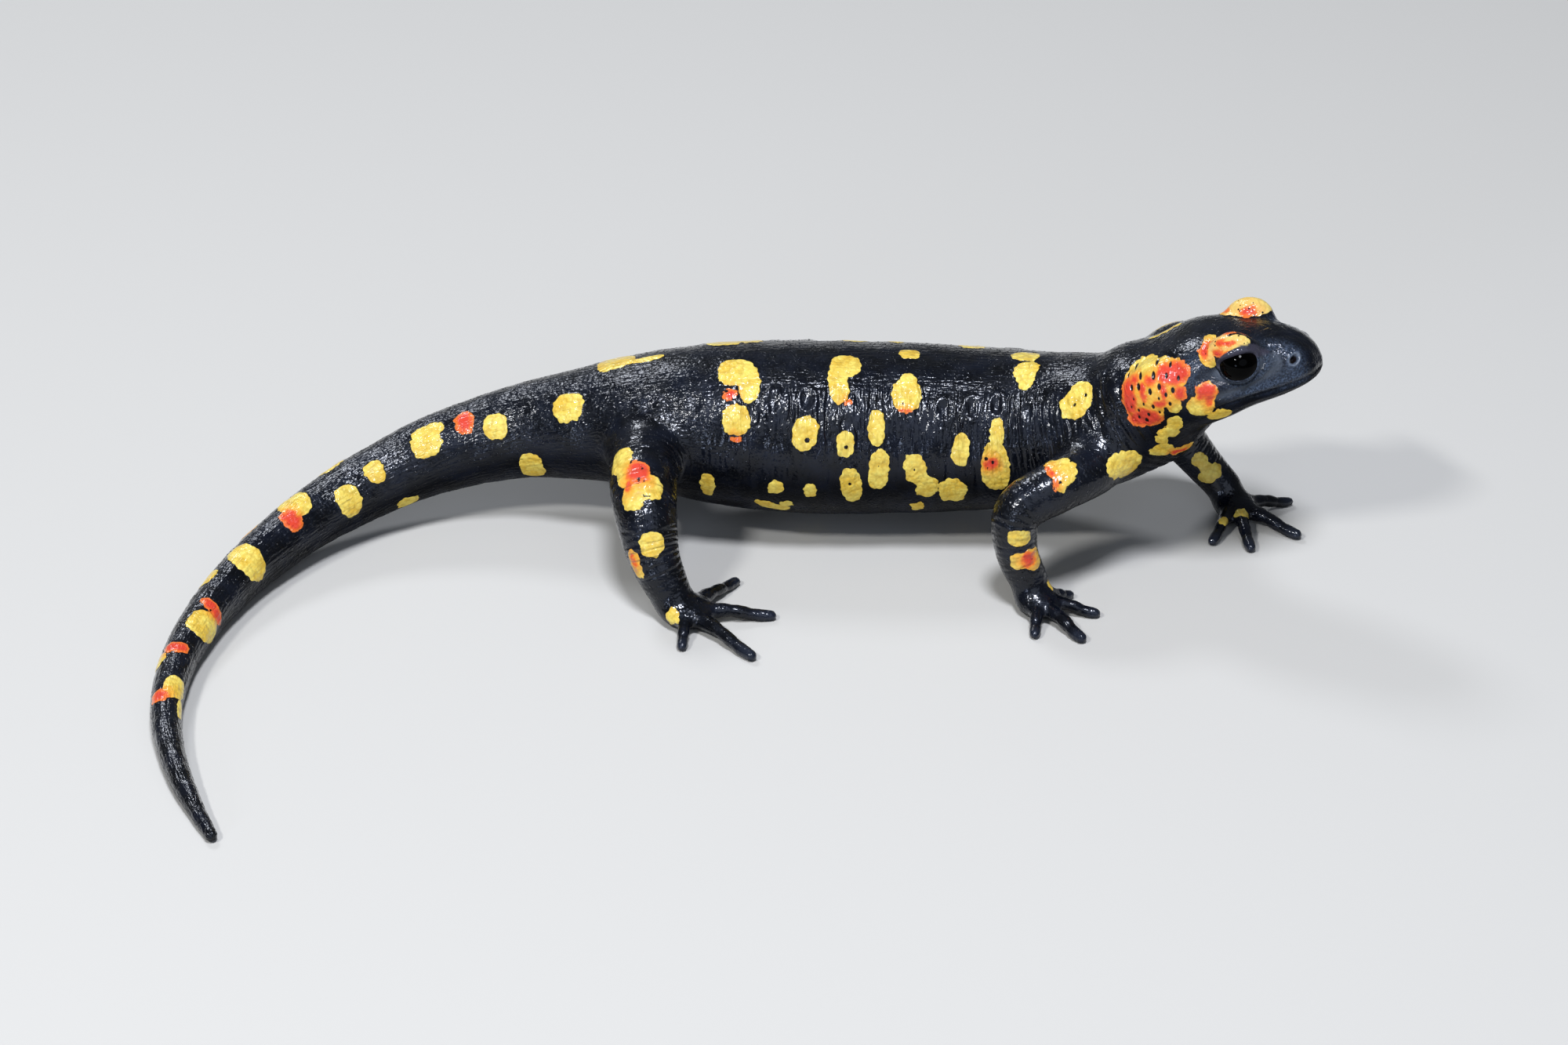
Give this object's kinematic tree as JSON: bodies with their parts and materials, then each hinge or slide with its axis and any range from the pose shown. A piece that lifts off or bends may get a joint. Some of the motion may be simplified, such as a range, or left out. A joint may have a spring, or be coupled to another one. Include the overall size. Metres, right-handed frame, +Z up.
{
  "type": "fire salamander",
  "caption": "Life-size still fire salamander in a walking pose with its head raised and its tail curled round on the floor.",
  "frame": {"origin": "on the floor under the middle of the animal's bounding box", "axes": "+X towards the head along the trunk, +Y towards the animal's left, +Z up"},
  "size_m": [0.1504, 0.1072, 0.0374],
  "materials": {
    "skin": "moist glossy blue-black skin with sulphur-yellow and orange-red spots",
    "eye": "wet near-black eyeball"
  },
  "bodies": {
    "root": {"head": "skin", "lower_jaw": "skin", "eye_left": "eye", "eye_right": "eye", "neck": "skin", "chest": "skin", "belly": "skin", "hips": "skin", "tail_base": "skin", "tail_middle": "skin", "tail_end": "skin", "tail_tip": "skin", "right_fore_upper_arm": "skin", "right_fore_forearm": "skin", "right_fore_hand": "skin", "left_fore_upper_arm": "skin", "left_fore_forearm": "skin", "left_fore_hand": "skin", "right_hind_thigh": "skin", "right_hind_shank": "skin", "right_hind_foot": "skin", "left_hind_thigh": "skin", "left_hind_shank": "skin", "left_hind_foot": "skin"}
  },
  "joints": []
}
